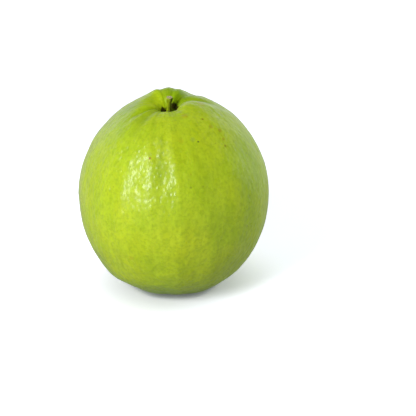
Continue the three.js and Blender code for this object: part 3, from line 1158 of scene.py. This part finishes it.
@dataclass
class Calyx:
    """The dried disc and sepals in the hollow under the fruit."""

    floor: float
    stance: Stance
    radius: float = 3.6
    thickness: float = 1.7
    seat_depth: float = 1.0
    clearance: float = 0.3
    pit_radius: float = 1.7
    pit_depth: float = 0.9
    sepal_root: float = 2.1
    sepal_thickness: float = 0.7
    sepal_tip: float = 0.12
    sepal_wrinkle: float = 0.16
    crinkle: float = 0.12
    steps: int = 72
    sepals: tuple[Sepal, ...] = (
        Sepal(20, 4.6, 2.2, 3.1, 0.9),
        Sepal(88, 4.1, 2.4, 3.4, 0.5),
        Sepal(163, 4.7, 2.1, 2.9, 1.0),
        Sepal(232, 3.5, 2.3, 3.3, 0.7),
        Sepal(301, 4.4, 2.2, 3.0, 0.4),
    )
    finish: CalyxFinish = field(default_factory=CalyxFinish)

    def disc(self) -> bmesh.types.BMesh:
        """Builds the disc, with the pit that the flower's style left.

        Returns:
            Its mesh, in its place on the straight fruit.
        """
        top = self.floor + self.seat_depth - self.clearance
        bottom = top - self.thickness
        outline = [
            (0.0, bottom + self.pit_depth),
            (self.pit_radius * 0.5, bottom + self.pit_depth * 0.98),
            (self.pit_radius * 0.85, bottom + self.pit_depth * 0.8),
            (self.pit_radius, bottom + self.pit_depth * 0.3),
            (self.pit_radius * 1.12, bottom + 0.05),
            (self.pit_radius * 1.3, bottom),
            (self.radius * 0.8, bottom + 0.2),
            (self.radius * 0.95, bottom + self.thickness * 0.25),
            (self.radius, bottom + self.thickness * 0.5),
            (self.radius, top),
            (0.0, top),
        ]
        return spun(outline, self.steps)

    def blade(self, sepal: Sepal) -> bmesh.types.BMesh:
        """Builds one sepal as a closed, crinkled blade.

        Args:
            sepal: The sepal's sizes.

        Returns:
            Its mesh, in its place on the straight fruit.
        """
        mesh = bmesh.new()
        bmesh.ops.create_grid(mesh, x_segments=20, y_segments=12, size=1.0)
        root = self.floor + self.seat_depth - self.clearance - self.thickness * 0.65
        for vert in mesh.verts:
            share = (vert.co.x + 1) / 2
            width = sepal.half_width * (1 - share) ** 0.5 * (0.75 + 0.5 * share)
            across = vert.co.y * max(width, self.sepal_tip)
            wrinkle = self.sepal_wrinkle * noise.noise(Vector((share * 6, across * 1.6, sepal.azimuth)))
            curl = sepal.curl * share * (across / sepal.half_width) ** 2
            height = root - sepal.drop * share**1.1 - curl + wrinkle
            vert.co = Vector((self.sepal_root + share * sepal.length, across, height)) * MM
        bmesh.ops.recalc_face_normals(mesh, faces=mesh.faces)
        bmesh.ops.solidify(mesh, geom=mesh.faces[:], thickness=self.sepal_thickness * MM)
        bmesh.ops.recalc_face_normals(mesh, faces=mesh.faces)
        turned = Matrix.Rotation(math.radians(sepal.azimuth), 4, "Z")
        bmesh.ops.transform(mesh, matrix=turned, verts=mesh.verts)
        return mesh

    def build(self) -> bpy.types.Object:
        """Builds and dresses the calyx.

        Returns:
            The finished piece.
        """
        whole = self.disc()
        for sepal in self.sepals:
            blade = self.blade(sepal)
            data = bpy.data.meshes.new("sepal")
            blade.to_mesh(data)
            blade.free()
            whole.from_mesh(data)
            bpy.data.meshes.remove(data)
        piece = piece_from(whole, "guava_calyx")
        points = points_of(piece)
        points[:, 2] += self.crinkle * grain(points, (1.2, 1.2, 1.2), 4.4)
        set_points(piece, self.stance.place(points))
        fit_out(piece, "calyx", self.finish.material())
        return piece


# --------------------------------------------------------------------------------------------------
# The studio
# --------------------------------------------------------------------------------------------------


@dataclass(frozen=True)
class SoftBox:
    """A large soft lamp, placed in degrees and metres from the fruit's middle."""

    name: str
    azimuth: float
    elevation: float
    distance: float
    width: float
    height: float
    watts: float
    colour: tuple[float, float, float] = (1.0, 1.0, 1.0)
    mirrored: bool = True


@dataclass(frozen=True)
class Surroundings:
    """White walls, dimmer on the camera's side, that look evenly white to the camera."""

    tint: tuple = (0.96, 0.98, 1.0, 1.0)
    front_light: float = 0.31
    back_light: float = 0.75
    mirrored_back: float = 0.25
    mirrored_top_loss: float = 0.85
    least_light: float = 0.04
    seen_light: float = 1.05

    def world(self) -> bpy.types.World:
        """Makes the surroundings.

        Returns:
            The world.
        """
        world = bpy.data.worlds.new("white_studio")
        world.use_nodes = True
        nodes = Nodes(world.node_tree)
        way = nodes.add("ShaderNodeTexCoord").outputs["Generated"]
        way = nodes.add("ShaderNodeSeparateXYZ", {0: way}).outputs
        light = nodes.ramp(way["Y"], -0.3, 0.8, self.front_light, self.back_light)
        path = nodes.add("ShaderNodeLightPath").outputs
        behind = nodes.ramp(way["Y"], 0.1, 0.7, 0.0, self.mirrored_back)
        above = nodes.ramp(way["Z"], 0.2, 0.7, 0.0, self.mirrored_top_loss)
        mirrored = nodes.math("MULTIPLY", nodes.math("SUBTRACT", behind, above), path["Is Glossy Ray"])
        light = nodes.math("MAXIMUM", nodes.math("ADD", light, mirrored), self.least_light)
        choice = {0: path["Is Camera Ray"], 2: light, 3: self.seen_light}
        strength = nodes.add("ShaderNodeMix", choice).outputs[0]
        shader = nodes.add("ShaderNodeBackground", {"Color": self.tint, "Strength": strength})
        nodes.add("ShaderNodeOutputWorld", {"Surface": shader.outputs[0]})
        return world


@dataclass(frozen=True)
class FloorFinish:
    """White card that is shaded under the fruit and glows a little, so that it stays white to its edge.

    The camera sees a brighter card than the one that throws light back on to the fruit.
    Reaches are in metres.
    """

    thrown_back: tuple = (0.38, 0.4, 0.4, 1.0)
    open_air: tuple = (1.4, 1.4, 1.56, 1.0)
    contact: tuple = (0.14, 0.22, 0.16, 1.0)
    contact_reach: float = 0.004
    shadow: tuple = (0.11, 0.12, 0.12, 1.0)
    shadow_reach: float = 0.026
    shadow_share: float = 0.33
    near_glow: float = 0.12
    far_glow: float = 0.7
    mirrored_glow: float = 0.3
    samples: int = 12

    def material(self) -> bpy.types.Material:
        """Makes the card.

        Returns:
            The material.
        """
        material, nodes = new_material("white_floor")
        path = nodes.add("ShaderNodeLightPath").outputs
        seen = path["Is Camera Ray"]
        dim = nodes.add("ShaderNodeBsdfDiffuse", {"Color": self.thrown_back})
        touch = nodes.ramp(self._openness(nodes, self.contact_reach), 0.0, 0.6)
        tone = nodes.blend(touch, self.contact, self.open_air)
        shade = nodes.ramp(self._openness(nodes, self.shadow_reach), 0.1, 1.0, self.shadow_share, 0.0)
        tone = nodes.blend(shade, tone, self.shadow)
        bright = nodes.add("ShaderNodeBsdfDiffuse", {"Color": tone})
        surface = nodes.add("ShaderNodeMixShader", {0: seen, 1: dim.outputs[0], 2: bright.outputs[0]})

        place = nodes.place()
        behind = nodes.add("ShaderNodeSeparateXYZ", {0: place}).outputs["Y"]
        back_glow = nodes.ramp(behind, 0.0, 0.25, 0.0, self.mirrored_glow)
        mirrored = nodes.math("MULTIPLY", back_glow, path["Is Glossy Ray"])
        away = nodes.add("ShaderNodeVectorMath", {0: place}, operation="LENGTH").outputs["Value"]
        glow = nodes.ramp(away, 0.25, 1.2, self.near_glow, self.far_glow)
        lift = nodes.math("ADD", nodes.math("MULTIPLY", seen, glow), mirrored)
        glowing = nodes.add("ShaderNodeEmission", {"Strength": lift})
        whole = nodes.add("ShaderNodeAddShader", {0: surface.outputs[0], 1: glowing.outputs[0]})
        nodes.add("ShaderNodeOutputMaterial", {"Surface": whole.outputs[0]})
        return material

    def _openness(self, nodes: Nodes, reach: float) -> Socket:
        """Returns how open the air is within a reach, from 0 to 1."""
        air = nodes.add("ShaderNodeAmbientOcclusion", {"Distance": reach}, samples=self.samples)
        return air.outputs["AO"]


@dataclass
class Studio:
    """A white floor, white surroundings, soft lamps and the camera, in metres and degrees."""

    middle: Vector = field(default_factory=lambda: Vector((0.0, 0.0, 0.0495)))
    camera_azimuth: float = 270.0
    camera_elevation: float = 22.0
    camera_distance: float = 0.65
    lens_mm: float = 112.5
    sensor_mm: float = 36.0
    nearest: float = 0.01
    aim_right: float = 0.0171
    aim_down: float = 0.0092
    floor_size: float = 8.0
    floor_finish: FloorFinish = field(default_factory=FloorFinish)
    surroundings: Surroundings = field(default_factory=Surroundings)
    lamps: tuple[SoftBox, ...] = (
        SoftBox("key_softbox", 233.0, 26.0, 0.62, 0.16, 0.32, 3.5),
        SoftBox("side_softbox", 20.0, 11.0, 0.95, 0.9, 0.9, 7.2, (0.94, 0.98, 1.0), False),
    )

    def add_camera(self) -> None:
        """Adds the camera and makes it the scene's own."""
        data = bpy.data.cameras.new("camera")
        data.lens = self.lens_mm
        data.sensor_width = self.sensor_mm
        data.clip_start = self.nearest
        camera = bpy.data.objects.new("camera", data)
        bpy.context.scene.collection.objects.link(camera)
        back = direction(self.camera_azimuth, self.camera_elevation)
        right = Vector((1.0, 0.0, 0.0))
        up = back.cross(right)
        camera.location = self.middle + back * self.camera_distance
        target = self.middle + right * self.aim_right - up * self.aim_down
        camera.rotation_euler = (target - camera.location).to_track_quat("-Z", "Y").to_euler()
        bpy.context.scene.camera = camera

    def add_lamps(self) -> None:
        """Adds the soft lamps, each turned to the fruit."""
        for lamp in self.lamps:
            data = bpy.data.lights.new(lamp.name, "AREA")
            data.shape = "RECTANGLE"
            data.size, data.size_y = lamp.width, lamp.height
            data.energy = lamp.watts
            data.color = lamp.colour
            box = bpy.data.objects.new(lamp.name, data)
            bpy.context.scene.collection.objects.link(box)
            away = direction(lamp.azimuth, lamp.elevation)
            box.location = self.middle + away * lamp.distance
            box.rotation_euler = (-away).to_track_quat("-Z", "Y").to_euler()
            box.visible_glossy = lamp.mirrored

    def add_floor(self) -> None:
        """Adds the floor, as a part of the stage and not of the guava."""
        mesh = bmesh.new()
        bmesh.ops.create_grid(mesh, x_segments=1, y_segments=1, size=self.floor_size / 2)
        floor = piece_from(mesh, "studio_floor")
        floor.data.materials.append(self.floor_finish.material())

    def build(self) -> None:
        """Sets the whole studio up."""
        bpy.context.scene.view_settings.view_transform = "Standard"
        self.add_camera()
        self.add_lamps()
        bpy.context.scene.world = self.surroundings.world()
        self.add_floor()


def main() -> None:
    """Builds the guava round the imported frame, and the studio that it is shown in."""
    logging.basicConfig(level=logging.INFO, format="%(name)s: %(message)s")
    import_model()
    Studio().build()

    fruit = Fruit()
    pieces = [fruit.build()]
    cavity_floor, basin_floor = fruit.height(np.zeros(2), np.array([True, False]))
    pieces.append(StalkStub(float(cavity_floor), fruit.stance).build())
    pieces.append(Calyx(float(basin_floor), fruit.stance).build())
    for piece in pieces:
        log.info("%s: %d vertices, %d faces", piece.name, len(piece.data.vertices), len(piece.data.polygons))

    bpy.context.view_layer.update()


if __name__ == "__main__":
    main()
